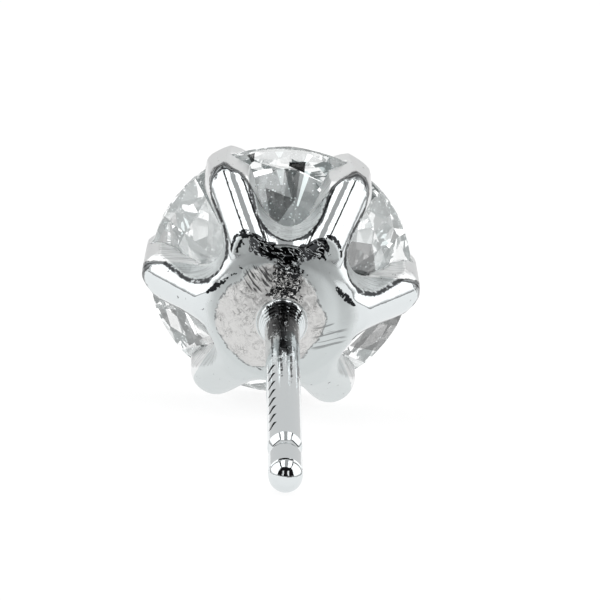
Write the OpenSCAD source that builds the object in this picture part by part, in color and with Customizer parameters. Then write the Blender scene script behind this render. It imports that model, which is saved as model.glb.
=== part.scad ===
// Stud earring: one round brilliant stone in a six prong cup on a straight post.
// The head is drawn along its own axis: z = 0 is the plane of the stone's girdle, and
// +z runs down the post. place() then lays the stud on its side, as it rests by itself.

/* [Stone] */
// Diameter of the stone at its girdle, mm
stone_d = 6.45; // [6:0.05:6.8]
// Table width across its corners as a share of the stone's diameter
table_share = 0.57; // [0.5:0.01:0.65]
// Slope of the crown's main facets, degrees
crown_angle = 34.5; // [30:0.5:38]
// Slope of the pavilion's main facets, degrees
pavilion_angle = 40.8; // [39:0.1:42]
// Half of the girdle's thickness at its thinnest, mm
girdle_half = 0.05; // [0.03:0.01:0.1]
// Size of the seat as a multiple of the stone's, which leaves the gap round it
seat_scale = 1.014; // [1.01:0.001:1.02]

/* [Prongs] */
// Number of prongs
prong_count = 6; // [6:1:8]
// Radius of a prong's bar where it leaves the cup, mm
prong_root_r = 0.5; // [0.45:0.01:0.55]
// Radius of a prong's upright part, mm
prong_r = 0.62; // [0.58:0.01:0.64]
// How much wider the rounded elbow and the rounded tip are, mm
prong_swell = 0.02; // [0.02:0.01:0.05]
// Distance of a prong's axis inside the stone's edge, mm
prong_bite = 0.395; // [0.35:0.005:0.42]
// Distance of the elbow below the girdle plane, mm
elbow_z = 0.85; // [0.8:0.01:0.95]
// Height of the tip's centre above the girdle plane, mm
tip_z = 0.15; // [0.1:0.01:0.25]

/* [Cup] */
// Radius of the cup's flat back, mm
back_r = 1.47; // [1.4:0.01:1.55]
// Distance of the flat back below the girdle plane, mm
back_z = 3.5; // [3.4:0.05:3.8]
// Radius at the crease where the flare begins, mm
crease_r = 1.7; // [1.65:0.01:1.75]
// Distance of the crease below the girdle plane, mm
crease_z = 2.85; // [2.8:0.05:2.9]
// Angle of the flare from the axis, degrees
flare_angle = 40; // [38:1:41]
// Distance from the axis to the bottom of each notch, mm
notch_r = 1.81; // [1.78:0.01:1.9]
// Width of the web that stays behind each prong, mm
web_w = 0.8; // [0.7:0.05:0.85]
// Radius of the hollow at its floor, mm
hollow_r = 1.3; // [1.1:0.05:1.35]
// Distance of the hollow's floor below the girdle plane, mm
hollow_z = 2.65; // [2.5:0.05:2.7]

/* [Post] */
// Diameter of the post, mm
post_d = 0.85; // [0.8:0.01:0.9]
// Distance of the tip's centre below the girdle plane, mm
post_end_z = 13.43; // [12:0.01:14.5]
// How much narrower the rounded tip is, mm
tip_inset = 0.005; // [0.003:0.001:0.03]
// Distance from the middle of the groove to the tip's centre, mm
groove_back = 1.38; // [1.2:0.01:2]
// Half length of the groove along the post, mm
groove_half = 0.38; // [0.3:0.01:0.45]
// Depth of the groove, mm
groove_depth = 0.1; // [0.05:0.01:0.12]
// Radius of the collar where the post is soldered on, mm
collar_r = 0.54; // [0.5:0.01:0.7]
// Height of the collar above the flat back, mm
collar_h = 0.35; // [0.2:0.01:0.6]

/* [Hidden] */
$fn = 96;
// Overlap that keeps joined surfaces from just touching.
eps = 0.01;

// Stone: its facets meet the girdle on a polygon just outside the round girdle.
stone_r = stone_d / 2;
mains = 8;
girdle_sides = 2 * mains;
step = 360 / mains;
corner_r = 1.003 * stone_r / cos(180 / girdle_sides);
table_r = table_share * stone_r;
table_h = girdle_half + (corner_r - table_r) * tan(crown_angle);
star_r = 0.775 * stone_r;
star_h = table_h - (star_r * cos(step / 2) - table_r) * tan(crown_angle);
culet_h = girdle_half + corner_r * tan(pavilion_angle);
keel_r = 0.22 * stone_r;
keel_h = culet_h - keel_r * cos(step / 2) * tan(pavilion_angle);

// Heights at which the facet ridges reach the round girdle.
past_girdle = corner_r - stone_r;
upper_ridge_h = girdle_half + past_girdle * (star_h - girdle_half) / (corner_r - star_r);
lower_ridge_h = girdle_half + past_girdle * (keel_h - girdle_half) / (corner_r - keel_r);

// Prongs: a bar leans from its root inside the cup to the elbow.
half_pitch = 180 / prong_count;
first_prong = 270 - half_pitch;
prong_offset = stone_r - prong_bite;
elbow_r = prong_r + prong_swell;
root_off = 1.35;
root_z = 2.95;
root_cut_z = crease_z - 0.05;
bar_run = sqrt(pow(prong_offset - root_off, 2) + pow(root_z - elbow_z, 2));
bar_lean = atan2(prong_offset - root_off, root_z - elbow_z);

// Cup: the flare ends inside the bars, and the hollow's wall leans outwards.
flare_end_z = elbow_z + 0.9;
flare_end_r = crease_r + (crease_z - flare_end_z) * tan(flare_angle);
hollow_run = 0.9;
hollow_rise = 1.3;

// Notch: a circle that fits between two webs, cut along the axis.
notch_off = (notch_r - web_w / 2) / (1 - sin(half_pitch));
notch_rad = notch_off - notch_r;
notch_top_z = crease_z + 0.3;
notch_h = 2.5;
notch_reach = 5;

// Post: the groove is a circle turned round the axis.
post_r = post_d / 2;
tip_r = post_r - tip_inset;
groove_rad = (groove_half * groove_half + groove_depth * groove_depth) / (2 * groove_depth);
groove_z = post_end_z - groove_back;

// Rest: the stud lies on the elbows of its two lowest prongs and on its post's tip.
elbow_drop = prong_offset * cos(half_pitch);
rest_run = post_end_z - elbow_z;
rest_tilt = atan2(elbow_drop, rest_run)
    + asin((elbow_r - tip_r) / sqrt(elbow_drop * elbow_drop + rest_run * rest_run));
rest_h = post_end_z * sin(rest_tilt) + tip_r;
table_y = table_h * cos(rest_tilt) + table_r * sin(rest_tilt);
tip_y = -post_end_z * cos(rest_tilt) - tip_r;

function ring(r, h, n, turn) =
    [for (i = [0 : n - 1]) [r * cos(turn + 360 * i / n), r * sin(turn + 360 * i / n), h]];

// Lays the head's axis down, tips it until the post touches, and centres its box.
module place() {
    translate([0, -(table_y + tip_y) / 2, rest_h])
        rotate([90 + rest_tilt, 0, 0])
            children();
}

// The cut stone with its table up. Corners run from the table down to the culet.
module brilliant() {
    star = mains;
    upper = star + mains;
    lower = upper + girdle_sides;
    keel = lower + girdle_sides;
    culet = keel + mains;
    points = concat(
        ring(table_r, table_h, mains, 0),
        ring(star_r, star_h, mains, step / 2),
        ring(corner_r, girdle_half, girdle_sides, 0),
        ring(corner_r, -girdle_half, girdle_sides, 0),
        ring(keel_r, -keel_h, mains, step / 2),
        [[0, 0, -culet_h]]
    );
    table = [[for (i = [mains - 1 : -1 : 0]) i]];
    stars = [for (i = [0 : mains - 1]) [i, (i + 1) % mains, star + i]];
    kites = [for (i = [0 : mains - 1])
        [i, star + i, upper + 2 * i, star + (i + mains - 1) % mains]];
    upper_halves = [for (j = [0 : girdle_sides - 1])
        [star + floor(j / 2), upper + (j + 1) % girdle_sides, upper + j]];
    band = [for (j = [0 : girdle_sides - 1])
        [upper + j, upper + (j + 1) % girdle_sides,
         lower + (j + 1) % girdle_sides, lower + j]];
    lower_halves = [for (j = [0 : girdle_sides - 1])
        [keel + floor(j / 2), lower + j, lower + (j + 1) % girdle_sides]];
    pavilion = [for (i = [0 : mains - 1])
        [culet, keel + (i + mains - 1) % mains, lower + 2 * i, keel + i]];
    polyhedron(
        points = points,
        faces = concat(table, stars, kites, upper_halves, band, lower_halves, pavilion),
        convexity = 2
    );
}

// Round room for the stone: the outline of its ridges, a little enlarged.
module stone_room() {
    scale(seat_scale)
        rotate_extrude()
            polygon([
                [0, culet_h],
                [keel_r, keel_h],
                [stone_r, lower_ridge_h],
                [stone_r, -upper_ridge_h],
                [star_r, -star_h],
                [table_r, -table_h],
                [0, -table_h]
            ]);
}

// Open cone under the stone, so that the stone bears on the prongs alone.
module hollow() {
    rotate_extrude()
        polygon([
            [0, hollow_z],
            [hollow_r, hollow_z],
            [hollow_r + hollow_run, hollow_z - hollow_rise],
            [hollow_r + hollow_run, 0],
            [0, 0]
        ]);
}

// One notch with a round bottom, open outwards.
module notch() {
    side = notch_rad * cos(half_pitch);
    far = side + (notch_reach - notch_off) * tan(half_pitch);
    translate([0, 0, notch_top_z - notch_h]) {
        translate([notch_off, 0, 0])
            cylinder(r = notch_rad + eps, h = notch_h);
        linear_extrude(height = notch_h)
            polygon([
                [notch_off, -side],
                [notch_reach, -far],
                [notch_reach, far],
                [notch_off, side]
            ]);
    }
}

// Flat back, short boss and flare, with a notch between each two prongs.
module cup() {
    difference() {
        rotate_extrude()
            polygon([
                [0, back_z],
                [back_r, back_z],
                [crease_r, crease_z],
                [flare_end_r, flare_end_z],
                [0, flare_end_z]
            ]);
        for (i = [0 : prong_count - 1])
            rotate([0, 0, first_prong + half_pitch * (2 * i + 1)])
                notch();
    }
}

// One prong: a bar up the flare, a round elbow, an upright bar and a round tip.
module prong() {
    intersection() {
        translate([prong_offset, 0, elbow_z])
            rotate([0, -bar_lean, 0])
                cylinder(r1 = prong_r - eps, r2 = prong_root_r, h = bar_run);
        translate([0, -1, 0])
            cube([prong_offset + 1, 2, root_cut_z]);
    }
    translate([prong_offset, 0, elbow_z])
        sphere(r = elbow_r);
    translate([prong_offset, 0, -tip_z])
        cylinder(r = prong_r, h = elbow_z + tip_z);
    translate([prong_offset, 0, -tip_z])
        sphere(r = elbow_r);
}

// Straight post with its soldered collar, the groove and the rounded tip.
module post() {
    difference() {
        translate([0, 0, back_z - collar_h])
            cylinder(r = post_r, h = post_end_z - back_z + collar_h);
        translate([0, 0, groove_z])
            rotate_extrude()
                translate([post_r - groove_depth + groove_rad, 0])
                    circle(r = groove_rad);
    }
    translate([0, 0, post_end_z])
        sphere(r = tip_r);
    translate([0, 0, back_z - eps])
        cylinder(r1 = collar_r, r2 = post_r + eps, h = collar_h + eps);
}

module setting() {
    color([0.86, 0.87, 0.88])
        place() {
            difference() {
                union() {
                    cup();
                    for (i = [0 : prong_count - 1])
                        rotate([0, 0, first_prong + 2 * half_pitch * i])
                            prong();
                }
                stone_room();
                hollow();
            }
            post();
        }
}

module stone() {
    color([0.93, 0.95, 0.97])
        place()
            rotate([180, 0, 0])
                intersection() {
                    brilliant();
                    translate([0, 0, -culet_h - eps])
                        cylinder(r = stone_r, h = culet_h + table_h + 2 * eps);
                }
}

setting();
stone();
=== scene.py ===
import math

import bpy
import numpy as np
from mathutils import Matrix, Vector


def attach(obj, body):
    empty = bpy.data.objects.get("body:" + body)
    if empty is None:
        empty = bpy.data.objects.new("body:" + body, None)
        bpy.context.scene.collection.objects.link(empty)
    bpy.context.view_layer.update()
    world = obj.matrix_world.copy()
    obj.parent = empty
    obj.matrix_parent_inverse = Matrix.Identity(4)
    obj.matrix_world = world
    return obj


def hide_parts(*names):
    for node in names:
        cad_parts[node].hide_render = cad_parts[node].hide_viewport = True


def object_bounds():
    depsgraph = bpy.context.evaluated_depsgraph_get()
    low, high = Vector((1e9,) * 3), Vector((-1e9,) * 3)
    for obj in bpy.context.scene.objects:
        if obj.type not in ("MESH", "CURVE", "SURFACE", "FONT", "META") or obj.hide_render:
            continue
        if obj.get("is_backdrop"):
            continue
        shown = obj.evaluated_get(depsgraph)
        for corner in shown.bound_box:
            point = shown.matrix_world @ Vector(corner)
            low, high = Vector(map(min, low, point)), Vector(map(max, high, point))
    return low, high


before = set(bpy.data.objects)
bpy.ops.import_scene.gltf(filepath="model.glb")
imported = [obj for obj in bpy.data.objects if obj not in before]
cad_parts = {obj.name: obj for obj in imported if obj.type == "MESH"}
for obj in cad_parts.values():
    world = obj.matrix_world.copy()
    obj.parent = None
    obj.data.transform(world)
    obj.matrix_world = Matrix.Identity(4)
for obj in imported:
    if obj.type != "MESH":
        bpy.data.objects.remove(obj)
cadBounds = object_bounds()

# A stud earring lying on its side. Pieces are made in millimetres along the stud's own axis
# (z runs from the stone's girdle down the post) and are then laid down where the frame has them.
stud = {
    "girdleY": 6.07173, "girdleZ": 3.21406,            # middle of the girdle, mm
    "tilt": 12.0079,                                   # the post's tip hangs down to the floor, degrees
    "prongs": 6, "firstProng": 240.0, "pitch": 60.0,   # place and spacing in degrees
}
halfPitch = stud["pitch"] / 2
lay = (Matrix.Translation((0, stud["girdleY"] / 1000, stud["girdleZ"] / 1000))
       @ Matrix.Rotation(math.radians(90 + stud["tilt"]), 4, "X")
       @ Matrix.Scale(0.001, 4))
near = 1e-4   # mm, counts as the same place
tiny = 1e-6   # keeps a division from zero


def pickOnly(piece):
    bpy.ops.object.select_all(action="DESELECT")
    piece.select_set(True)
    bpy.context.view_layer.objects.active = piece


def startPiece(name):
    piece = bpy.context.object
    piece.name = name
    piece.data.name = name
    return piece


def applyAll(piece):
    pickOnly(piece)
    bpy.ops.object.transform_apply(location=True, rotation=True, scale=True)


def addModifier(piece, kind, **settings):
    pickOnly(piece)
    modifier = piece.modifiers.new(kind.title(), kind)
    for key, value in settings.items():
        setattr(modifier, key, value)
    bpy.ops.object.modifier_apply(modifier=modifier.name)


def cutAway(piece, *cutters):
    for cutter in cutters:
        addModifier(piece, "BOOLEAN", operation="DIFFERENCE", object=cutter, solver="EXACT")


def throwAway(*pieces):
    for piece in pieces:
        bpy.data.objects.remove(piece)


def copyPiece(piece, name):
    twin = piece.copy()
    twin.data = piece.data.copy()
    twin.name = name
    bpy.context.scene.collection.objects.link(twin)
    return twin


def turnRound(piece, angle):
    # round the stud's axis, degrees
    piece.data.transform(Matrix.Rotation(math.radians(angle), 4, "Z"))


def joinPieces(pieces, name):
    bpy.ops.object.select_all(action="DESELECT")
    for piece in pieces:
        piece.select_set(True)
    bpy.context.view_layer.objects.active = pieces[0]
    bpy.ops.object.join()
    return startPiece(name)


def selectVertices(piece, test):
    # leaves the piece in edit mode
    bpy.ops.object.mode_set(mode="EDIT")
    bpy.ops.mesh.select_mode(type="VERT")
    bpy.ops.mesh.select_all(action="DESELECT")
    bpy.ops.object.mode_set(mode="OBJECT")
    for vertex in piece.data.vertices:
        vertex.select = bool(test(vertex.co))
    bpy.ops.object.mode_set(mode="EDIT")


def closeProfile(profile):
    # from the axis and back to it
    return [(0, profile[0][1])] + profile + [(0, profile[-1][1])]


def turnPiece(name, profile, steps=96):
    # the profile is drawn point by point from one vertex and spun round the axis
    bpy.ops.object.select_all(action="DESELECT")
    bpy.ops.mesh.primitive_plane_add(size=0.1)
    piece = startPiece(name)
    bpy.ops.object.mode_set(mode="EDIT")
    bpy.ops.mesh.select_all(action="SELECT")
    bpy.ops.mesh.merge(type="CENTER")
    bpy.ops.transform.translate(value=(profile[0][0], 0, profile[0][1]))
    for (r0, z0), (r1, z1) in zip(profile, profile[1:]):
        bpy.ops.mesh.extrude_region_move(TRANSFORM_OT_translate={"value": (r1 - r0, 0, z1 - z0)})
    bpy.ops.mesh.select_all(action="SELECT")
    bpy.ops.mesh.spin(steps=steps, angle=2 * math.pi, center=(0, 0, 0), axis=(0, 0, 1))
    bpy.ops.mesh.select_all(action="SELECT")
    bpy.ops.mesh.remove_doubles(threshold=0.0005)
    bpy.ops.mesh.normals_make_consistent(inside=False)
    bpy.ops.object.mode_set(mode="OBJECT")
    return piece


def layDown(piece):
    # from the stud's own axis in millimetres to the frame in metres
    piece.data.transform(lay)
    piece.matrix_world = Matrix.Identity(4)


def readPoints(piece):
    # every x, every y and every z
    co = np.empty(len(piece.data.vertices) * 3)
    piece.data.vertices.foreach_get("co", co)
    return co.reshape(-1, 3).T


def rise(values, ends):
    # 0 before the first end, 1 past the second, smooth between
    t = np.clip((values - ends[0]) / (ends[1] - ends[0]), 0, 1)
    return t * t * (3 - 2 * t)


def fall(values, ends):
    return 1 - rise(values, ends)


def paintGroup(piece, name, share):
    group = piece.vertex_groups.new(name=name)
    for i in np.nonzero(share > 0.01)[0]:
        group.add([int(i)], float(share[i]), "REPLACE")


def setFields(piece, **fields):
    # attributes that the metal's finish reads
    for name, values in fields.items():
        layer = piece.data.attributes.new(name, "FLOAT", "POINT")
        layer.data.foreach_set("value", np.full(len(piece.data.vertices), values, dtype=np.float32))


# head of the setting: cup, boss and six prongs
head = {
    # profiles: radius and height
    "ledge": [(1.57, 3.00), (1.79, 2.897)],      # the shelf round the boss
    "flare": [(2.2, 2.30), (2.75, 1.5)],
    "boss": [(1.64, 2.80), (1.57, 2.97), (1.52, 3.03), (1.36, 3.175), (1.18, 3.305), (0.98, 3.41),
             (0.8, 3.475), (0.6, 3.5)],
    "pad": [(0.82, 3.2), (0.82, 3.475), (0.78, 3.51), (0.6, 3.53)],      # solder round the post
    "hollow": [(1.3, 2.65), (2.2, 1.35), (2.2, 0.0)],
    "room": [(0, 2.8968), (0.7095, 2.3408), (3.225, 0.0585), (3.225, -0.0554), (2.4994, -0.6605),
             (1.8383, -1.0533), (0, -1.0533)],   # the stone's own outline
    "roomScale": 1.014,
    "outside": (4.5, 6.0),                       # past every prong and past the back
    "bossAt": (-0.02, -0.02),
    "faceShift": (-0.12, -0.04), "shiftFrom": 3.0, "shiftOver": 0.44,   # its crown sits to one side
    "notchBottom": 1.885, "notchReach": 4,
    "notchOpen": 119,                            # degrees of its circle left open each way
    "notchSides": [(-2.0, 0.60), (0.7, 0.60), (2.1, 0.475), (3.5, 0.475)],   # height, half the web left
    "rootR": 0.66, "barR": 0.622, "elbowR": 0.624,
    "root": (1.22, 2.86), "elbow": (2.83, 0.85),
    # way to the elbow and share of the taper, mm past it and share of the turn, height and radius
    "barRings": [(0.25, 0.3), (0.5, 0.6), (0.72, 0.8), (0.88, 0.95)],
    "bendRings": [(-0.16, 0.12), (-0.06, 0.36), (0.06, 0.64), (0.16, 0.88)],
    "tipRings": [(0.5, 0.625), (0.1, 0.62), (-0.2, 0.62), (-0.42, 0.60), (-0.60, 0.53), (-0.70, 0.42),
                 (-0.745, 0.25)],
    "turns": [0, 0, 0, -0.3, 0.8, 0],            # how far each prong sits off its sixth, degrees
    "filed": ((3.435, 0, 0.80), (1, 0, -0.10)),  # the tip is filed flat on the outside
    "hands": [0, 0, -1, 1, -1, 1], "chamfer": 0.51,   # side on which each tip is chamfered
    "voxel": 0.026, "quickVoxel": 0.045, "smooth": 4, "blend": 110, "keep": 0.41,
    "castAt": (-0.33, 0.02), "castR": 1.37, "castFrom": 2.95,
    # its edge's waves (how far, how many, start) and dents (direction and width in degrees, how far)
    "castWaves": [(0.05, 3, 0.6), (0.03, 7, 2.0), (0.02, 13, 0.0)],
    "castDents": [(140, 30, 0.27), (28, 20, 0.08)],
    "lumps": [(0.4, 0.05), (0.16, 0.035)],       # width and height of the skin's lumps
    "shelfLoses": 0.85,                          # share of the lumps that the shelf goes without
    "shelfCurve": 0.19, "stripAt": 0.02,
    "lineThins": 0.62,                           # of the dark line, round a notch's bottom
    "tipFrom": 0.70, "tipCurve": 2.6, "tipWidens": 1.5,   # the arc where a prong's filed tip begins
    "inward": (0.8, 0.6),                        # weight of facing the axis and of facing the stone
    # where the side prongs' polish starts: a place on the line and the way past it
    "polishLines": [((1.317, 0.771), (0.696, 0.718)), ((-1.391, 0.851), (-0.705, 0.709))],
    "satinDepth": 1.7,
    # painted shade on the boss's satin side
    "dusk": (0.04, 0.15), "duskFrom": -0.35, "duskOver": 1.75,   # at the boss's top and round its foot
    # painted shade in the corners where the prongs meet the boss: two ends and half the width
    "corners": [((1.30, 0.79), (1.77, 0.33), 0.062), ((-1.86, 0.38), (-1.40, 0.85), 0.05),
                ((-1.20, 0.99), (-1.32, 0.94), 0.022), ((-1.06, 1.13), (-1.18, 1.18), 0.02),
                ((-1.10, 1.87), (-1.25, 1.44), 0.032), ((-1.14, 1.88), (-0.86, 1.90), 0.04),
                ((0.90, 1.93), (1.08, 1.52), 0.045), ((0.78, 1.66), (0.98, 1.48), 0.028)],
    # share of the width at their ends and what the middle adds, and how far from the first end it rises
    "cornerSwell": (0.45, 0.9), "cornerTaper": (0.9, 0.1),
    "rimAbove": 2.5, "filedLeftAt": (-0.66, 1.0), "filedLeftFlat": 1.25,
    # where each form or finish fades in or out, mm (arcs in degrees, shelfRound as a share of the way up)
    "zones": {
        "blendTop": (-1.45, -1.2), "blendHeight": (2.3, 2.7), "blendOut": (2.0, 2.3),
        "blendIn": (0.9, 1.05), "blendLow": (-0.3, 0.2),
        "shelfRound": (0.40, 0.62), "shelfDrop": (0.04, 0.09), "shelfHeight": (3.06, 3.16),
        "shelfFront": (1.30, 1.50), "shelfSide": (0.87, 0.99), "ribbonArc": (17, 22),
        "ribbonFrom": (1.73, 1.77), "stripSide": (0.14, 0.62), "stripFoot": (3.0, 3.1),
        "stripFrom": (0.3, 0.6), "stripTop": (3.1, 3.2),
        "skinEdge": (-0.05, 0.12), "lineArc": (17, 23), "tipSide": (0.2, 0.45), "above": (-1.0, -0.6),
        "inside": (-0.1, 0.2), "boss": (2.86, 2.93), "flankHeight": (2.35, 2.6), "flankOut": (1.66, 1.95),
        "flankTop": (1.47, 1.60), "polish": (0.0, 0.07), "polishTop": (0.8, 1.2), "low": (0.1, 0.8),
        "footTop": (1.36, 1.56), "paleDrop": (0.03, 0.06), "rimFrom": (0.02, 0.05), "rimTo": (0.08, 0.13),
        "duskIn": (1.3, 1.5), "duskOut": (1.66, 1.84), "duskLow": (-0.7, 0.1),
        "cornerEdge": (0.4, 1.5), "cornerHeight": (2.3, 2.5),
        "rightIn": (0.7, 0.9), "rightOut": (1.45, 1.75), "rightLow": (-0.85, -0.65),
        "rightTop": (-0.05, 0.08), "rightHeight": (2.4, 2.6),
        "leftOut": (0.3, 0.45), "leftHeight": (2.9, 3.0),
    },
}


def ledgeAt(r):
    (r0, z0), (r1, z1) = head["ledge"]
    return z0 - (r - r0) * (z0 - z1) / (r1 - r0)


def notchCircle(side):
    # its middle's distance from the axis, and its radius
    centre = 2 * (head["notchBottom"] - side)
    return centre, centre - head["notchBottom"]


def makeNotchCutter(angle):
    # a U with a round bottom, wider at the back than at the stone
    level, side = head["notchSides"][0]
    centre, radius = notchCircle(side)
    bpy.ops.object.select_all(action="DESELECT")
    bpy.ops.mesh.primitive_circle_add(vertices=72, radius=radius, fill_type="NOTHING", location=(0, 0, 0))
    cutter = startPiece("notchCutter")
    openHalf = math.radians(head["notchOpen"])
    selectVertices(cutter, lambda co: abs(math.atan2(co.y, co.x)) < openHalf)
    bpy.ops.mesh.delete(type="VERT")
    lean = math.radians(halfPitch)
    for sign in (1, -1):
        bpy.ops.object.mode_set(mode="OBJECT")
        end = max(cutter.data.vertices, key=lambda v: v.co.y * sign + v.co.x * 0.01).co.copy()
        selectVertices(cutter, lambda co: (co - end).length < near)
        bpy.ops.mesh.extrude_region_move(TRANSFORM_OT_translate={
            "value": (head["notchReach"] * math.cos(lean), sign * head["notchReach"] * math.sin(lean), 0)})
    bpy.ops.mesh.select_all(action="SELECT")
    bpy.ops.mesh.edge_face_add()
    bpy.ops.transform.translate(value=(centre, 0, level))
    for z, nextSide in head["notchSides"][1:]:
        nextCentre, nextRadius = notchCircle(nextSide)
        move = (nextCentre - centre, 0, z - level)
        bpy.ops.mesh.extrude_region_move(TRANSFORM_OT_translate={"value": move})
        bpy.ops.transform.resize(value=(nextRadius / radius,) * 3, center_override=(nextCentre, 0, z))
        level, centre, radius = z, nextCentre, nextRadius
    bpy.ops.mesh.select_all(action="SELECT")
    bpy.ops.mesh.normals_make_consistent(inside=False)
    bpy.ops.object.mode_set(mode="OBJECT")
    turnRound(cutter, angle)
    return cutter


def cutNotch(piece, angle):
    notch = makeNotchCutter(angle)
    cutAway(piece, notch)
    throwAway(notch)


def sliceOff(piece, place, normal):
    # what lies past the plane goes, and the cut is closed
    pickOnly(piece)
    bpy.ops.object.mode_set(mode="EDIT")
    bpy.ops.mesh.select_all(action="SELECT")
    bpy.ops.mesh.bisect(plane_co=place, plane_no=normal, clear_outer=True, use_fill=True)
    bpy.ops.object.mode_set(mode="OBJECT")


def makeProngBar():
    # a round bar up the flare, bent at the elbow and closed over the stone's edge
    (r0, z0), (r1, z1) = head["root"], head["elbow"]
    lean = math.atan2(r1 - r0, z1 - z0)
    bpy.ops.object.select_all(action="DESELECT")
    bpy.ops.mesh.primitive_circle_add(vertices=64, radius=head["rootR"], fill_type="NGON",
                                      location=(r0, 0, z0), rotation=(0, lean, 0))
    bar = startPiece("prongBar")
    applyAll(bar)
    run = Vector((r1 - r0, 0, z1 - z0))
    along = run.normalized()
    upright = math.pi
    rings = [(Vector((r0, 0, z0)) + run * t, head["rootR"] + (head["barR"] - head["rootR"]) * grow, lean)
             for t, grow in head["barRings"]]
    # the bend itself, with its rings far enough apart to stay clear of each other inside
    for step, share in head["bendRings"]:
        middle = Vector((r1, 0, z1)) + (along * step if step < 0 else Vector((0, 0, -step)))
        rings.append((middle, head["elbowR"], lean + (upright - lean) * share))
    rings += [(Vector((r1, 0, z)), r, upright) for z, r in head["tipRings"]]
    bpy.ops.object.mode_set(mode="EDIT")
    bpy.ops.mesh.select_all(action="SELECT")
    spot, size, turn = Vector((r0, 0, z0)), head["rootR"], lean
    for nextSpot, nextSize, nextTurn in rings:
        centre = tuple(nextSpot)
        bpy.ops.mesh.extrude_region_move(TRANSFORM_OT_translate={"value": tuple(nextSpot - spot)})
        if nextTurn != turn:
            bpy.ops.transform.rotate(value=turn - nextTurn, orient_axis="Y", orient_type="GLOBAL",
                                     center_override=centre)
        bpy.ops.transform.resize(value=(nextSize / size,) * 3, center_override=centre)
        spot, size, turn = nextSpot, nextSize, nextTurn
    bpy.ops.mesh.select_all(action="SELECT")
    bpy.ops.mesh.normals_make_consistent(inside=False)
    bpy.ops.object.mode_set(mode="OBJECT")
    return bar


def makeHead():
    cup = turnPiece("cup", closeProfile(head["ledge"] + head["flare"]))
    boss = turnPiece("boss", closeProfile(head["boss"]))
    pad = turnPiece("pad", closeProfile(head["pad"]))
    boss.data.transform(Matrix.Translation(head["bossAt"] + (0,)))
    shiftX, shiftY = head["faceShift"]
    for level in sorted({z for r, z in head["boss"] if z > head["shiftFrom"]}):
        share = min(1.0, (level - head["shiftFrom"]) / head["shiftOver"])
        selectVertices(boss, lambda co: abs(co.z - level) < near)
        bpy.ops.transform.translate(value=(shiftX * share, shiftY * share, 0))
        bpy.ops.object.mode_set(mode="OBJECT")
    bar = makeProngBar()

    grow = head["roomScale"]
    room = turnPiece("room", [(r * grow, z * grow) for r, z in head["room"]], steps=128)
    hollow = turnPiece("hollow", closeProfile(head["hollow"]))
    wide, back = head["outside"]
    shelf = turnPiece("shelf", [(0, ledgeAt(0)), (wide, ledgeAt(wide)), (wide, back), (0, back)])
    for angle in (halfPitch, -halfPitch):
        cutNotch(bar, angle)
    cutAway(bar, shelf, room, hollow)
    for i in range(stud["prongs"]):
        cutNotch(cup, stud["firstProng"] + halfPitch + stud["pitch"] * i)
    cutAway(cup, room, hollow)
    cutAway(boss, room, hollow)
    place, normal = head["filed"]
    sliceOff(bar, place, normal)
    bars = []
    for i, (turn, hand) in enumerate(zip(head["turns"], head["hands"])):
        twin = copyPiece(bar, "prong%d" % i)
        if hand:
            aside = head["chamfer"] * 0.707   # at 45 degrees
            sliceOff(twin, (head["elbow"][0] + aside, hand * aside, 0), (1, hand, 0))
        turnRound(twin, stud["firstProng"] + stud["pitch"] * i + turn)
        bars.append(twin)
    throwAway(room, hollow, shelf, bar)
    piece = joinPieces([cup, boss, pad] + bars, "setting_head")
    voxel = head["voxel"]
    addModifier(piece, "REMESH", mode="VOXEL", voxel_size=voxel, adaptivity=0.0)
    addModifier(piece, "SMOOTH", factor=0.5, iterations=head["smooth"])
    blendBoss(piece)
    roughenBack(piece)
    addModifier(piece, "DECIMATE", decimate_type="COLLAPSE", ratio=head["keep"])
    return piece


def offProng(x, y):
    # degrees round the axis from the nearest prong's middle
    angle = np.degrees(np.arctan2(y, x))
    return (angle - stud["firstProng"] + halfPitch) % stud["pitch"] - halfPitch


def castReach(x, y, z):
    # millimetres inside the rough patch's edge
    x, y = x - head["castAt"][0], y - head["castAt"][1]
    angle = np.arctan2(y, x)
    edge = head["castR"]
    for far, count, start in head["castWaves"]:
        edge = edge + far * np.sin(count * angle + start)
    for way, width, depth in head["castDents"]:
        edge = edge - depth * np.exp(-((np.degrees(angle) - way) / width) ** 2)
    return np.where(z > head["castFrom"], edge - np.hypot(x, y), -1.0)


def shelfShare(x, y, z):
    # the crinkled shelf over the boss and the strip that runs down from it to the post, 0 to 1
    zones = head["zones"]
    radius = np.hypot(x, y)
    shelf = fall(ledgeAt(radius) - z, zones["shelfDrop"]) * fall(z, zones["shelfHeight"])
    shelf *= rise(y - head["shelfCurve"] * x ** 2, zones["shelfFront"])
    shelf *= fall(np.abs(x), zones["shelfSide"])
    # but not on the bright ribbon under a notch
    shelf *= 1 - rise(np.abs(offProng(x, y)), zones["ribbonArc"]) * rise(radius, zones["ribbonFrom"])
    shelf *= rise(y / np.maximum(radius, tiny), zones["shelfRound"])
    strip = fall(np.abs(x - head["stripAt"]), zones["stripSide"]) * rise(z, zones["stripFoot"])
    return np.maximum(shelf, strip * rise(y, zones["stripFrom"]))


def stripShare(z):
    return rise(z, head["zones"]["stripTop"])


def blendBoss(piece):
    # at the sides and below the boss flows into the prongs
    zones = head["zones"]
    x, y, z = readPoints(piece)
    radius = np.hypot(x, y)
    share = rise(-y, zones["blendTop"]) * rise(z, zones["blendHeight"]) * fall(radius, zones["blendOut"])
    share *= np.maximum(rise(radius, zones["blendIn"]), fall(y, zones["blendLow"]))
    paintGroup(piece, "blended", share)
    addModifier(piece, "SMOOTH", factor=0.5, iterations=head["blend"], vertex_group="blended")
    piece.vertex_groups.clear()


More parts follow.
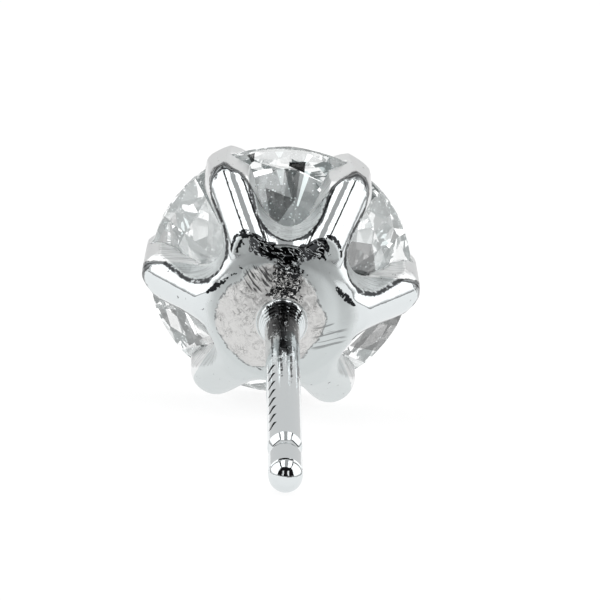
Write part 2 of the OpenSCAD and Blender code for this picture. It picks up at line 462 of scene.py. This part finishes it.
def roughenBack(piece):
    # the skin of the casting: soft lumps and small pits
    x, y, z = readPoints(piece)
    shelf = shelfShare(x, y, z)
    share = np.maximum(rise(castReach(x, y, z), head["zones"]["skinEdge"]), shelf)
    paintGroup(piece, "roughened", share * (1 - head["shelfLoses"] * shelf * (1 - stripShare(z))))
    for size, depth in head["lumps"]:
        skin = bpy.data.textures.new("castSkin", "CLOUDS")
        skin.noise_scale = size
        skin.noise_depth = 1
        skin.noise_basis = "ORIGINAL_PERLIN"
        addModifier(piece, "DISPLACE", texture=skin, texture_coords="LOCAL", strength=depth, mid_level=0.5,
                    vertex_group="roughened", direction="NORMAL")
    piece.vertex_groups.clear()


def cornerShare(x, y):
    # the corners' painted shade, each widest in its middle, 0 to 1
    (ends, middle), (run, lead) = head["cornerSwell"], head["cornerTaper"]
    share = np.zeros(len(x))
    for (startX, startY), (endX, endY), width in head["corners"]:
        runX, runY = endX - startX, endY - startY
        t = ((x - startX) * runX + (y - startY) * runY) / (runX * runX + runY * runY)
        t = np.clip(t, 0, 1)
        gap = np.hypot(x - startX - t * runX, y - startY - t * runY)
        swell = ends + middle * np.sin(np.pi * np.clip(t * run + lead, 0, 1))
        share = np.maximum(share, fall(gap / (width * swell), head["zones"]["cornerEdge"]))
    return share


def markHead(piece):
    # distances that the metal's finish is laid out by, each kept within a millimetre, and where it is satin
    zones = head["zones"]
    x, y, z = readPoints(piece)
    normal = np.empty(len(x) * 3)
    piece.data.vertex_normals.foreach_get("vector", normal)
    normalX, normalY, normalZ = normal.reshape(-1, 3).T
    radius = np.hypot(x, y)
    off = np.radians(offProng(x, y))
    across = np.abs(radius * np.sin(off))
    # millimetres from the wall of the nearest notch
    centre, notchR = notchCircle(np.interp(z, *zip(*head["notchSides"])))
    lean = math.radians(halfPitch)
    beside = lean - np.abs(off)
    u, v = radius * np.cos(beside) - centre, radius * np.sin(beside)
    along = np.maximum(u * math.cos(lean) + v * math.sin(lean), 0)
    notch = np.hypot(u - along * math.cos(lean), v - along * math.sin(lean)) - notchR
    # the painted dark reflection by the notch draws thinner round its bottom
    edge = notch / (1 - head["lineThins"] * rise(np.degrees(np.abs(off)), zones["lineArc"]))
    tip = z - head["tipFrom"] - np.minimum(head["tipCurve"] * across ** 2, 1.0)
    tip *= np.where(tip > 0, 1 + head["tipWidens"] * rise(across, zones["tipSide"]), 1)
    setFields(piece, notch=np.clip(notch, -0.1, 1.0), edge=np.clip(edge, -0.1, 1.0),
              tip=np.clip(tip, -1.0, 1.0), cast=np.clip(castReach(x, y, z), -1.0, 1.0),
              shelf=shelfShare(x, y, z), strip=stripShare(z), above=rise(y, zones["above"]))
    # satin: the inside, the lower half, and the boss and its flank to where the side prongs' polish starts
    outward = (normalX * x + normalY * y) / np.maximum(radius, tiny)
    inside = fall(outward * head["inward"][0] + normalZ * head["inward"][1], zones["inside"])
    beyond = np.maximum(*[(x - atX) * wayX + (y - atY) * wayY
                          for (atX, atY), (wayX, wayY) in head["polishLines"]])
    plain = 1 - rise(beyond, zones["polish"]) * fall(y, zones["polishTop"])
    flank = rise(z, zones["flankHeight"]) * fall(radius, zones["flankOut"]) * fall(y, zones["flankTop"])
    flank *= plain
    boss = rise(z, zones["boss"]) * plain
    low = rise(-y, zones["low"])
    # the outer part of each upper prong's foot is pale, with a painted shadow as a dark rim under the ledge
    drop = ledgeAt(radius) - z
    outer = rise(np.abs(x), zones["shelfSide"]) * rise(y, zones["footTop"])
    pale = outer * fall(drop, zones["paleDrop"])
    ledgeShadow = outer * rise(drop, zones["rimFrom"]) * fall(drop, zones["rimTo"]) * (z > head["rimAbove"])
    # painted shade towards the top of the boss and round its foot
    foot = rise(radius, zones["duskIn"]) * fall(radius, zones["duskOut"]) * rise(y, zones["duskLow"])
    up = np.clip((y - head["duskFrom"]) / head["duskOver"], 0, 1)
    topDusk, footDusk = head["dusk"]
    leftX, leftY = head["filedLeftAt"]
    leftOut = np.hypot(x - leftX, (y - leftY) * head["filedLeftFlat"])
    satin = head["satinDepth"] * np.maximum.reduce([boss, flank, pale])
    setFields(piece, satin=np.maximum.reduce([inside, low, satin]),
              dusk=flank * (topDusk * up + footDusk * foot),
              corner=np.maximum(cornerShare(x, y) * rise(z, zones["cornerHeight"]), ledgeShadow),
              filedRight=(rise(x, zones["rightIn"]) * fall(x, zones["rightOut"])
                          * rise(y, zones["rightLow"]) * fall(y, zones["rightTop"])
                          * rise(z, zones["rightHeight"])),
              filedLeft=fall(leftOut, zones["leftOut"]) * rise(z, zones["leftHeight"]))


# post with its collar, groove, nicks and rounded tip
post = {
    "r": 0.425, "tipZ": 13.43, "tipR": 0.42,
    # the collar steps down to the post in small turned rings
    "collar": [(0.70, 3.30), (0.70, 3.50), (0.66, 3.525), (0.625, 3.545), (0.605, 3.60), (0.575, 3.67),
               (0.545, 3.685), (0.53, 3.76), (0.505, 3.775), (0.492, 3.90), (0.47, 3.915), (0.462, 4.05),
               (0.445, 4.06), (0.438, 4.3)],
    "shankFrom": 4.6, "shankRings": 44,
    "grooveZ": 12.05, "grooveHalf": 0.38, "grooveDepth": 0.1, "grooveRings": 12, "grooveLip": 0.02,
    # a fine V goes round where the rounded tip begins: how far in, how far before the tip's middle
    "vee": [(0, 0.09), (0.012, 0.075), (0.05, 0.035), (0.009, 0.012)],
    "domeRings": 16,
    "nicks": 8, "nickFrom": 7.3, "nickStep": 0.527, "nickTurn": 141,
    "nickSize": (0.15, 0.30, 0.24), "nickSlant": 48, "nickOut": 0.005, "nickInner": 0.3,
    # painted dark reflection on the post's upper side: a band at the collar, which is narrower there, a
    # column under it, the places beside that, and streaks that fade down the post (direction, where each
    # fades from and to)
    "band": ((0.45, 0.25), (0.8, 0.15)),          # from and to, each with what the collar adds
    "besideTone": 0.6, "streakTone": 0.75, "streakWidth": 4.0, "scorch": 1.9,
    "streaks": [(132, 5.6, 7.4), (100, 6.3, 9.0), (67, 6.4, 9.4), (38, 5.6, 9.6)],
    "castBelow": 3.535, "satinDepth": 1.5,
    "sunkBetween": (6.5, 11.61),                  # the nicks lie between these heights
    # where each finish fades in or out, mm (column in degrees, besideTop as a share of the way up)
    "zones": {
        "collarTone": (4.0, 4.3), "bandEnd": (4.5, 5.0), "columnFrom": (62, 72), "columnTo": (101, 106),
        "columnEnd": (5.9, 6.9), "besideTop": (0.35, 0.6), "besideEnd": (4.6, 6.0), "scorch": (3.58, 3.66),
        "satin": (3.53, 3.55), "sunk": (0.004, 0.03),
    },
}


def makePost():
    r, depth, half = post["r"], post["grooveDepth"], post["grooveHalf"]
    grooveR = (half * half + depth * depth) / (2 * depth)
    lip = half + post["grooveLip"]
    profile = [(0, post["collar"][0][1])] + post["collar"]
    shank = np.linspace(post["shankFrom"], post["grooveZ"] - lip, post["shankRings"])
    profile += [(r, float(z)) for z in shank]
    for i in range(post["grooveRings"] + 1):
        z = -half + 2 * half * i / post["grooveRings"]
        profile.append((r - depth + grooveR - math.sqrt(grooveR * grooveR - z * z), post["grooveZ"] + z))
    profile.append((r, post["grooveZ"] + lip))
    profile += [(r - inward, post["tipZ"] - before) for inward, before in post["vee"]]
    for i in range(post["domeRings"] + 1):
        a = math.radians(90 * i / post["domeRings"])
        profile.append((post["tipR"] * math.cos(a), post["tipZ"] + post["tipR"] * math.sin(a)))
    profile[-1] = (0, post["tipZ"] + post["tipR"])
    piece = turnPiece("setting_post", profile, steps=128)
    cutNicks(piece)
    return piece


def cutNicks(piece):
    # a row of short slanted nicks down one side of the post
    bpy.ops.object.select_all(action="DESELECT")
    bpy.ops.mesh.primitive_cube_add(size=1, location=(0, 0, 0))
    nick = startPiece("nick")
    nick.scale = post["nickSize"]
    applyAll(nick)
    selectVertices(nick, lambda co: co.x < 0)
    bpy.ops.transform.resize(value=(1, 1, post["nickInner"]))
    bpy.ops.object.mode_set(mode="OBJECT")
    nick.data.transform(Matrix.Translation((post["r"] + post["nickOut"], 0, 0))
                        @ Matrix.Rotation(math.radians(post["nickSlant"]), 4, "X"))
    twins = []
    for i in range(post["nicks"]):
        twin = copyPiece(nick, "nick%d" % i)
        turnRound(twin, post["nickTurn"])
        twin.data.transform(Matrix.Translation((0, 0, post["nickFrom"] + post["nickStep"] * i)))
        twins.append(twin)
    cutter = joinPieces(twins, "nicks")
    cutAway(piece, cutter)
    throwAway(nick, cutter)


def markPost(piece):
    zones = post["zones"]
    x, y, z = readPoints(piece)
    radius = np.hypot(x, y)
    top = y / np.maximum(radius, tiny)
    turn = np.degrees(np.arctan2(y, x))
    # painted dark reflection on the post's upper side near the collar
    collar = fall(z, zones["collarTone"])
    ends = [first + more * collar for first, more in post["band"]]
    band = rise(top, ends) * fall(z, zones["bandEnd"])
    column = rise(turn, zones["columnFrom"]) * fall(turn, zones["columnTo"]) * fall(z, zones["columnEnd"])
    beside = rise(top, zones["besideTop"]) * fall(z, zones["besideEnd"]) * (1 - collar)
    tones = [band, column, post["besideTone"] * beside]
    for way, start, end in post["streaks"]:
        streak = np.exp(-((turn - way) / post["streakWidth"]) ** 2)
        tones.append(post["streakTone"] * streak * fall(z, (start, end)))
    # painted shade inside the nicks, darker where the surface is sunk deeper
    sunkFrom, sunkTo = post["sunkBetween"]
    sunk = np.where((z > sunkFrom) & (z < sunkTo), rise(post["r"] - radius, zones["sunk"]), 0.0)
    setFields(piece, shank=1, notch=1, edge=1, tip=1, cast=np.where(z < post["castBelow"], 1.0, -1.0),
              satin=post["satinDepth"] * fall(z, zones["satin"]),
              scorch=post["scorch"] * np.maximum.reduce(tones) * rise(z, zones["scorch"]), sunk=sunk)


def newMaterial(name):
    material = bpy.data.materials.new(name)
    material.use_nodes = True
    return material, material.node_tree.nodes["Principled BSDF"]


def nodeTools(tree):
    # each tool adds a node, takes numbers, tuples or other nodes' outputs, and gives back an output
    def add(kind, inputs=None, output=0, **settings):
        node = tree.nodes.new("ShaderNode" + kind)
        for key, value in settings.items():
            setattr(node, key, value)
        for socket, source in (inputs or {}).items():
            if isinstance(source, (int, float, tuple)):
                node.inputs[socket].default_value = source
            else:
                tree.links.new(source, node.inputs[socket])
        return node.outputs[output]

    def maths(kind, *inputs):
        return add("Math", dict(enumerate(inputs)), operation=kind)

    def times(first, *others):
        for other in others:
            first = maths("MULTIPLY", first, other)
        return first

    def most(first, *others):
        for other in others:
            first = maths("MAXIMUM", first, other)
        return first

    def less(source):
        return maths("SUBTRACT", 1.0, source)

    def ramp(source, ends, kind="SMOOTHSTEP"):
        # 0 at the first end, 1 at the second
        return add("MapRange", {"Value": source, "From Min": ends[0], "From Max": ends[1]},
                   "Result", interpolation_type=kind)

    return add, maths, times, most, less, ramp


def makeAxial(add):
    # places along the stud's own axis, in millimetres
    tilt = math.radians(-90 - stud["tilt"])
    girdle = Matrix.Rotation(tilt, 4, "X") @ Vector((0, stud["girdleY"], stud["girdleZ"]))
    return add("Mapping", {"Vector": add("TexCoord", output="Object"), "Location": tuple(-girdle),
                           "Rotation": (tilt, 0, 0), "Scale": (1000, 1000, 1000)})


metal = {
    # patterns by the millimetre: turned by the slant first, then closer together where stretch is over 1
    "patterns": {
        "wave": {"scale": 3.2}, "worn": {"scale": 1.9}, "jitter": {"scale": 14},
        "ripple": {"scale": 7, "detail": 3}, "grain": {"scale": 26, "detail": 3},
        "skin": {"scale": 4.5, "detail": 4, "distortion": 1.4},
        "curl": {"detail": 1.5, "stretch": (4.5, 14, 4.5), "slant": -24, "distortion": 0.7},
        "brushed": {"scale": 1.2, "detail": 3, "stretch": (1, 1, 22)},
        "drawn": {"scale": 16, "detail": 3, "stretch": (1, 1, 0.03)},
        "mottle": {"scale": 11, "stretch": (1, 1, 0.5), "distortion": 1.2},
        "filedRight": {"stretch": (0.9, 12, 0.5), "slant": 6},
        "filedLeft": {"stretch": (3.2, 22, 1), "slant": -42},
    },
    "strandsAcross": 22, "strandsAlong": 3, "strandsDrift": (0.8, 0.8, 0), "strandsCurl": 0.6,
    "ringsOut": 21, "ringsSkin": 26,
    "wander": {"notch": 0.05, "edge": 0.05, "tip": 0.22, "cast": 0.12},   # of each edge, mm
    # a mark starts and ends between these
    "ends": {
        "curl": ((0.535, 0.575), (0.57, 0.61)), "edgeLine": ((-0.003, 0.027), (0.075, 0.105)),
        "elbow": ((-0.10, 0.0), (0.33, 0.43)), "castLine": ((-0.035, -0.005), (0.005, 0.035)),
        "wall": (0.012, 0.03), "tip": (0.0, 0.04), "cast": (-0.02, 0.05), "shelf": (0.38, 0.62),
        "flecks": (0.36, 0.56), "unbroken": (0.32, 0.47), "strands": (0.56, 0.46), "streaks": (0.48, 0.62),
        "worn": (0.42, 0.60), "veins": (0.0, 0.022), "rings": (0.55, 1.0), "spots": (0.56, 0.48),
        "filedRight": (0.54, 0.60), "filedLeft": (0.50, 0.56), "corner": (0.4, 0.62), "sunk": (0.0, 0.3),
        "scorch": (0.3, 0.6),
    },
    # a pattern's share, and what is there without it
    "shares": {
        "shelfSatin": (-0.85, 1.0), "edgeLine": (0.55, 0.45), "elbow": (0.4, 0.58), "worn": (0.75, 0.25),
        "curl": (-0.96, 0.96), "dusk": (0.6, 0.7), "ragged": (2.4, 1.0), "roughness": (0.27, 0.07),
    },
    # shelfRagged frays the shelf's edge; the other two make the post's painted dark reflection patchy
    "shelfRagged": 2.2, "scorchMottle": 5.0, "scorchDrawn": 1.6,
    # how dark each mark is
    "dark": {
        "edgeLine": 0.96, "elbow": 1.0, "shelf": 1.0, "spots": 0.97, "veins": 0.48, "castLine": 0.6,
        "dusk": 1.0, "filedRight": 0.5, "filedLeft": 0.85, "corner": 0.985, "streaks": 0.35,
        "sunk": 0.985, "scorch": 0.975,
    },
    "polished": (0.74, 0.775, 0.785, 1), "satin": (0.665, 0.70, 0.703, 1), "tips": (0.85, 0.86, 0.86, 1),
    "cast": (0.735, 0.732, 0.724, 1), "darkest": (0.012, 0.013, 0.015, 1),
    # heights in millimetres
    "relief": {
        "wave": 0.006, "satin": 0.0016, "brushed": 0.014, "skin": 0.05, "castGrain": 0.004, "curl": 0.026,
        "drawn": 0.0026, "strands": 0.015, "filedRight": 0.02, "filedLeft": 0.03,
    },
}


def makeWhiteMetal():
    material, shader = newMaterial("whiteMetal")
    add, maths, times, most, less, ramp = nodeTools(material.node_tree)
    axial = makeAxial(add)
    ends, shares = metal["ends"], metal["shares"]

    def noise(scale=1.0, detail=2.0, stretch=None, distortion=0.0, slant=0.0, source=axial):
        if stretch:
            source = add("Mapping", {"Vector": source, "Rotation": (0, 0, math.radians(slant)),
                                     "Scale": tuple(1 / s for s in stretch)}, vector_type="TEXTURE")
        return add("TexNoise", {"Vector": source, "Scale": scale, "Detail": detail,
                                "Distortion": distortion}, "Fac")

    def field(name):
        return add("Attribute", output="Fac", attribute_name=name)

    def line(source, name):
        first, second = ends[name]
        return times(ramp(source, first), less(ramp(source, second)))

    def share(source, name):
        return maths("MULTIPLY_ADD", source, *shares[name])

    def centred(source):
        return maths("SUBTRACT", source, 0.5)

    def mix(amount, low, high):
        return add("Mix", {0: amount, 6: low, 7: high}, 2, data_type="RGBA")

    pattern = {name: noise(**how) for name, how in metal["patterns"].items()}
    ripple, skin = pattern["ripple"], pattern["skin"]
    curl = line(pattern["curl"], "curl")
    jitter = centred(pattern["jitter"])
    notch, edge, tip, cast = (maths("ADD", field(name), times(jitter, far))
                              for name, far in metal["wander"].items())
    shelf = ramp(maths("ADD", field("shelf"), times(centred(ripple), metal["shelfRagged"])), ends["shelf"])
    onWall, onTip = less(ramp(notch, ends["wall"])), less(ramp(tip, ends["tip"]))
    onCast = ramp(cast, ends["cast"])
    satin = times(most(field("satin"), onWall, onTip), share(shelf, "shelfSatin"))

    # dark lines: a painted dark reflection along each prong's edge, painted shade in the crease across
    # its elbow, and a line round the rough patch
    flecks = ramp(ripple, ends["flecks"])
    unbroken = share(ramp(ripple, ends["unbroken"]), "edgeLine")
    edgeLine = times(line(edge, "edgeLine"), unbroken, field("above"), less(onTip))
    # painted shade in the elbow's crease, over real crinkled strands
    elbow = times(line(tip, "elbow"), field("above"), less(onWall))
    # its strands run along the arc
    spread = add("CombineXYZ", {0: times(field("tip"), metal["strandsAcross"]),
                                1: times(field("notch"), metal["strandsAlong"])})
    drift = add("VectorMath", {0: axial, 1: metal["strandsDrift"], 2: spread}, operation="MULTIPLY_ADD")
    strands = noise(source=drift, distortion=metal["strandsCurl"])
    castLine = times(line(cast, "castLine"), flecks)
    # veins and turned rings in the patch's skin: painted shade that shows its relief, partly its darker
    # oxide
    skinHere = times(onCast, share(ramp(pattern["worn"], ends["worn"]), "worn"))
    veins = less(ramp(maths("ABSOLUTE", centred(skin)), ends["veins"]))
    away = add("VectorMath", {0: axial, 1: (1, 1, 0)}, operation="MULTIPLY")
    reach = add("VectorMath", {0: away}, "Value", operation="LENGTH")
    rings = maths("SINE", maths("ADD", times(reach, metal["ringsOut"]), times(skin, metal["ringsSkin"])))
    rings = times(ramp(rings, ends["rings"]), flecks)
    ragged = share(maths("ADD", centred(ripple), jitter), "ragged")
    marks = {
        "edgeLine": edgeLine, "castLine": castLine, "veins": times(most(veins, rings), skinHere),
        "elbow": times(elbow, share(ramp(strands, ends["strands"]), "elbow")),
        # a painted dark reflection on the shelf between its bright strokes, and the strip has dark spots
        "shelf": times(shelf, share(curl, "curl"), less(field("strip"))),
        "spots": times(shelf, field("strip"), ramp(pattern["mottle"], ends["spots"])),
        # painted shade on the satin side of the boss, and file marks cross it right and left of the post
        "dusk": times(field("dusk"), less(onCast), less(shelf), share(pattern["wave"], "dusk")),
        "filedRight": times(ramp(pattern["filedRight"], ends["filedRight"]), field("filedRight")),
        "filedLeft": times(ramp(pattern["filedLeft"], ends["filedLeft"]), field("filedLeft")),
        # painted shade in the corners, and the painted shadow under the ledge
        "corner": ramp(times(field("corner"), ragged), ends["corner"]),
        "streaks": times(ramp(pattern["brushed"], ends["streaks"]), onWall),
    }
    dark = most(*[times(mark, metal["dark"][name]) for name, mark in marks.items()])
    # on the post: painted shade in the nicks, and the painted dark reflection in streaks and mottles
    patchy = maths("ADD", times(centred(pattern["mottle"]), metal["scorchMottle"]),
                   times(centred(pattern["drawn"]), metal["scorchDrawn"]))
    scorch = ramp(times(field("scorch"), maths("ADD", patchy, 1.0)), ends["scorch"])
    sunk = ramp(field("sunk"), ends["sunk"])
    dark = most(times(dark, less(field("shank"))), times(sunk, metal["dark"]["sunk"]),
                times(scorch, metal["dark"]["scorch"]))

    tone = mix(satin, metal["polished"], mix(onTip, metal["satin"], metal["tips"]))
    tone = mix(dark, mix(onCast, tone, metal["cast"]), metal["darkest"])
    links = material.node_tree.links
    links.new(tone, shader.inputs["Base Color"])
    shader.inputs["Metallic"].default_value = 1.0
    links.new(share(satin, "roughness"), shader.inputs["Roughness"])

    height = times(pattern["wave"], metal["relief"]["wave"])
    for name, source, where in (("satin", pattern["grain"], satin), ("brushed", pattern["brushed"], onWall),
                                ("skin", skin, skinHere), ("castGrain", pattern["grain"], onCast),
                                ("curl", curl, shelf), ("drawn", pattern["drawn"], field("shank")),
                                ("strands", strands, elbow),
                                ("filedRight", pattern["filedRight"], field("filedRight")),
                                ("filedLeft", pattern["filedLeft"], field("filedLeft"))):
        height = maths("ADD", height, times(source, where, metal["relief"][name]))
    bump = add("Bump", {"Strength": 1.0, "Distance": 0.001, "Height": height}, "Normal")
    links.new(bump, shader.inputs["Normal"])
    return material


stone = {
    "bends": 2.417, "glow": (0.9, 1, 1, 1),
    "facetScale": 850, "facetEnds": (0.20, 0.28), "facetShare": (0.92, 0.08),   # some pass less light
    # painted reflections seen as wedges in the window between the upper prongs, dark ones and glowing
    # bright
    # ones: middle, half width and half height in mm, turn in degrees, and the share of light that the dark
    # ones pass or the strength that the bright ones glow with
    "paintedDarkReflections": [(0.17, 2.91, 0.11, 0.20, -98, 0.002), (0.10, 2.57, 0.20, 0.30, 8, 0.200),
                   (-0.26, 2.07, 0.38, 0.27, -12, 0.130), (-0.95, 2.96, 0.10, 0.08, 20, 0.030)],
    "paintedHighlights": [(0.34, 2.46, 0.075, 0.36, -17, 0.55), (-0.21, 2.67, 0.100, 0.16, 10, 0.22)],
    "wedgeTaper": (0.35, 0.65), "wedgeEdge": (1.03, 0.97),
    # painted light: the stone glows a little all through
    "inside": 0.027,                             # a little brightness all through
    "specks": 0.35, "speckScale": 9000, "speckEdge": (0.22, 0.12),
    "patchScale": 900, "patchEdge": (0.54, 0.58),   # where the specks gather
}


def makeCutStone():
    material, shader = newMaterial("cutStone")
    shader.inputs["Roughness"].default_value = 0.0
    shader.inputs["IOR"].default_value = stone["bends"]
    shader.inputs["Transmission Weight"].default_value = 1.0
    shader.inputs["Emission Color"].default_value = stone["glow"]
    add, maths, times, most, _, ramp = nodeTools(material.node_tree)
    axial = makeAxial(add)
    place = add("TexCoord", output="Object")

    def wedge(x, y, wide, high, turn):
        # 1 inside, narrower at its lower end
        local = add("Mapping", {"Vector": axial, "Location": (x, y, 0), "Scale": (wide, high, 1),
                                "Rotation": (0, 0, math.radians(turn))}, vector_type="TEXTURE")
        across, up = (add("SeparateXYZ", {0: local}, side) for side in "XY")
        reach = maths("MULTIPLY_ADD", up, *stone["wedgeTaper"])
        sideways = maths("DIVIDE", maths("ABSOLUTE", across), reach)
        return ramp(most(sideways, maths("ABSOLUTE", up)), stone["wedgeEdge"], "LINEAR")

    facets = add("TexVoronoi", {"Vector": place, "Scale": stone["facetScale"]}, "Color")
    tone = maths("MULTIPLY_ADD", ramp(facets, stone["facetEnds"], "LINEAR"), *stone["facetShare"])
    # painted dark reflections of facets
    for *shape, passes in stone["paintedDarkReflections"]:
        tone = times(tone, maths("MULTIPLY_ADD", wedge(*shape), passes - 1, 1.0))
    # painted glints: a few bright specks under the surface that glow
    cells = add("TexVoronoi", {"Vector": place, "Scale": stone["speckScale"]}, "Distance")
    patches = add("TexNoise", {"Vector": place, "Scale": stone["patchScale"]}, "Fac")
    specks = times(ramp(cells, stone["speckEdge"], "LINEAR"), ramp(patches, stone["patchEdge"], "LINEAR"))
    # painted light: a faint glow all through
    glow = times(tone, stone["inside"])
    # painted highlights that glow
    for *shape, strength in stone["paintedHighlights"]:
        glow = maths("ADD", glow, times(wedge(*shape), strength))
    glow = maths("MULTIPLY_ADD", specks, stone["specks"], glow)
    material.node_tree.links.new(tone, shader.inputs["Base Color"])
    material.node_tree.links.new(glow, shader.inputs["Emission Strength"])
    return material


# the pieces are made, marked for their finish, dressed and laid down
headPiece = makeHead()
print("head", len(headPiece.data.polygons), "faces")
markHead(headPiece)
postPiece = makePost()
markPost(postPiece)
print("post", len(postPiece.data.polygons), "faces")

whiteMetal = makeWhiteMetal()
cutStone = makeCutStone()
for piece in (headPiece, postPiece):
    pickOnly(piece)
    if piece is postPiece:
        bpy.ops.object.shade_smooth_by_angle(angle=math.radians(32))
    else:
        bpy.ops.object.shade_smooth()
    piece.data.materials.clear()
    piece.data.materials.append(whiteMetal)
    layDown(piece)
    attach(piece, "root")
    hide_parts("setting")
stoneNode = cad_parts["stone"]
stoneNode.data.materials.clear()
stoneNode.data.materials.append(cutStone)
print("finishes", len(whiteMetal.node_tree.nodes), "and", len(cutStone.node_tree.nodes), "nodes")


floor = {
    "size": 2.0, "level": -0.00001,   # metres, a hair under the stud
    "grey": (0.18, 0.18, 0.18, 1), "roughness": 0.9, "shine": 0.2, "glow": 0.86,
}


def makeFloor():
    bpy.ops.object.select_all(action="DESELECT")
    bpy.ops.mesh.primitive_plane_add(size=floor["size"], location=(0, 0, floor["level"]))
    plane = startPiece("floor")
    material, shader = newMaterial("paleFloor")
    shader.inputs["Base Color"].default_value = floor["grey"]
    shader.inputs["Roughness"].default_value = floor["roughness"]
    shader.inputs["Emission Color"].default_value = (1, 1, 1, 1)
    shader.inputs["Emission Strength"].default_value = floor["glow"]
    shader.inputs["Specular IOR Level"].default_value = floor["shine"]
    plane.data.materials.append(material)
    plane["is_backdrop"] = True


light = {
    "azimuth": 2.1,         # the open front of the light box faces the camera
    # how bright each part is
    "strip": 0.55, "ceiling": 2.4, "bar": 0.02, "side": 1.9, "back": 0.88, "front": 0.012, "lamp": 1.6,
    "below": 0.8, "foot": 0.4,
    # slopes at which each part begins or ends (for foot and horizon, shares of a unit direction)
    "ends": {
        "ceiling": (0.13, 0.19), "bar": (0.46, 0.50), "side": (0.60, 0.64),
        "gapSide": (0.76, 0.82), "gapTop": (1.02, 1.06), "backSide": (0.56, 0.62), "backTop": (0.94, 0.98),
        "lampIn": (0.24, 0.30), "lampOut": (0.40, 0.46), "lampFoot": (0.10, 0.16), "lampTop": (0.8, 0.95),
        "frontTop": (0.34, 0.40), "frontSide": (1.50, 1.62),
        "footTop": (0.02, 0.18), "footSide": (0.5, 0.7), "horizon": (-0.01, 0.01),
    },
    "least": 0.001,
}


def makeLightBox():
    world = bpy.data.worlds.new("lightBox")
    bpy.context.scene.world = world
    world.use_nodes = True
    nodes, links = world.node_tree.nodes, world.node_tree.links
    nodes.clear()
    out = nodes.new("ShaderNodeOutputWorld")
    glow = nodes.new("ShaderNodeBackground")
    links.new(glow.outputs[0], out.inputs[0])
    add, maths, times, most, less, ramp = nodeTools(world.node_tree)
    ends = light["ends"]

    def blend(low, high, share):
        # low + (high - low) * share
        return maths("ADD", times(low, less(share)), times(high, share))

    turned = add("Mapping", {"Vector": add("TexCoord", output="Generated"),
                             "Rotation": (0, 0, math.radians(light["azimuth"]))})
    aside, behind, up = (add("SeparateXYZ", {0: turned}, side) for side in "XYZ")
    side = maths("ABSOLUTE", aside)
    front = times(behind, -1.0)
    lift = most(up, light["least"])
    across = maths("DIVIDE", side, lift)
    # ceiling: grey strip, bright panel, dark bar, then the side wall
    value = light["strip"]
    for part in ("ceiling", "bar", "side"):
        value = blend(value, light[part], ramp(across, ends[part]))
    # back wall, past the end of the ceiling, with a dark gap round it
    back = most(times(front, -1.0), light["least"])
    sideways, upwards = maths("DIVIDE", side, back), maths("DIVIDE", up, back)
    for part, name in (("bar", "gap"), ("back", "back")):
        here = times(less(ramp(sideways, ends[name + "Side"])), less(ramp(upwards, ends[name + "Top"])))
        value = blend(value, light[part], here)
    # open front: dark, with two lamps
    ahead = most(front, light["least"])
    lampSide, lampRise = maths("DIVIDE", side, ahead), maths("DIVIDE", up, ahead)
    lamp = times(ramp(lampSide, ends["lampIn"]), less(ramp(lampSide, ends["lampOut"])),
                 ramp(lampRise, ends["lampFoot"]), less(ramp(lampRise, ends["lampTop"])))
    overhead = maths("DIVIDE", front, lift)
    isFront = times(ramp(overhead, ends["frontTop"]), less(ramp(lampSide, ends["frontSide"])))
    value = blend(value, blend(light["front"], light["lamp"], lamp), isFront)
    # the side walls darken towards the floor
    foot = times(less(ramp(up, ends["footTop"])), ramp(side, ends["footSide"]))
    value = blend(value, light["foot"], foot)
    value = blend(light["below"], value, ramp(up, ends["horizon"]))
    # the lens itself sees plain white
    value = blend(value, 1.0, add("LightPath", output="Is Camera Ray"))
    links.new(value, glow.inputs["Strength"])


camera = {
    "azimuth": 2.28, "elevation": 9.7, "roll": -4.5,
    "picture": 600,               # points across and down
    "scale": 40.45,               # points to a millimetre at the girdle
    "girdleAt": (280.6, 269.2),   # where the girdle's middle falls in the picture
    "distance": 0.5, "sensor": 36, "clip": (0.01, 5),
}


def makeCamera():
    a, e, r = (math.radians(camera[k]) for k in ("azimuth", "elevation", "roll"))
    toLens = Vector((-math.sin(a) * math.cos(e), -math.cos(a) * math.cos(e), math.sin(e)))
    right = Vector((math.cos(a), -math.sin(a), 0))
    up = right.cross(-toLens)
    pictureRight = right * math.cos(r) - up * math.sin(r)
    pictureUp = right * math.sin(r) + up * math.cos(r)
    girdle = Vector((0, stud["girdleY"] / 1000, stud["girdleZ"] / 1000))
    x, y = (camera["picture"] / 2 - at for at in camera["girdleAt"])
    target = girdle + (pictureRight * x - pictureUp * y) / camera["scale"] / 1000
    data = bpy.data.cameras.new("camera")
    lens = bpy.data.objects.new("camera", data)
    bpy.context.scene.collection.objects.link(lens)
    data.sensor_width = camera["sensor"]
    data.lens = camera["sensor"] * camera["distance"] / (camera["picture"] / camera["scale"] / 1000)
    data.clip_start, data.clip_end = camera["clip"]
    turn = Matrix((pictureRight, pictureUp, toLens)).transposed().to_4x4()
    lens.matrix_world = Matrix.Translation(target + toLens * camera["distance"]) @ turn
    bpy.context.scene.camera = lens


makeFloor()
makeLightBox()
makeCamera()
print("floor, light box and camera")

scene = bpy.context.scene
scene.view_settings.view_transform = "Standard"
scene.cycles.max_bounces = 24
scene.cycles.transmission_bounces = 24
scene.cycles.glossy_bounces = 8
scene.cycles.sample_clamp_indirect = 6.0
scene.cycles.use_denoising = True

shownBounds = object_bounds()
for name, bounds in (("cad", cadBounds), ("shown", shownBounds)):
    print(name, [[round(v * 1000, 3) for v in c] for c in bounds])
